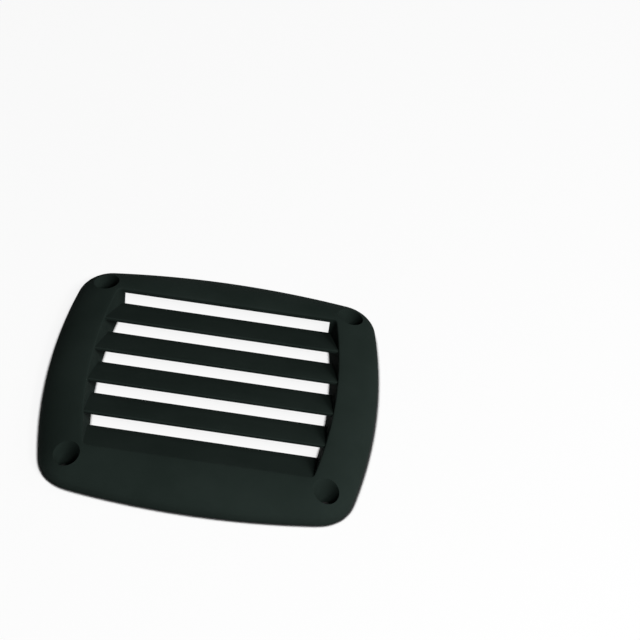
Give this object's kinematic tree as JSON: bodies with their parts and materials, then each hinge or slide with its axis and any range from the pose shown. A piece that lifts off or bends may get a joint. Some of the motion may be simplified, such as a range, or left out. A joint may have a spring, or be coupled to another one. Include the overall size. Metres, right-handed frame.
{
  "type": "louvred vent",
  "caption": "Flat moulded vent cover with bowed sides, a rounded frame that is hollow behind, sloping louvre slats across its opening and a countersunk screw hole in each corner.",
  "frame": {"origin": "centre of the flat back plane, which lies on the XY plane", "axes": "+Z out of the vent's face, +Y to its top edge, +X along the slats to the right as seen from the front"},
  "size_m": [0.102, 0.092, 0.0088],
  "materials": {
    "black_plastic": "matt moulded plastic, near black with a green tinge"
  },
  "bodies": {
    "root": {"louvred_vent": "black_plastic"}
  },
  "joints": []
}
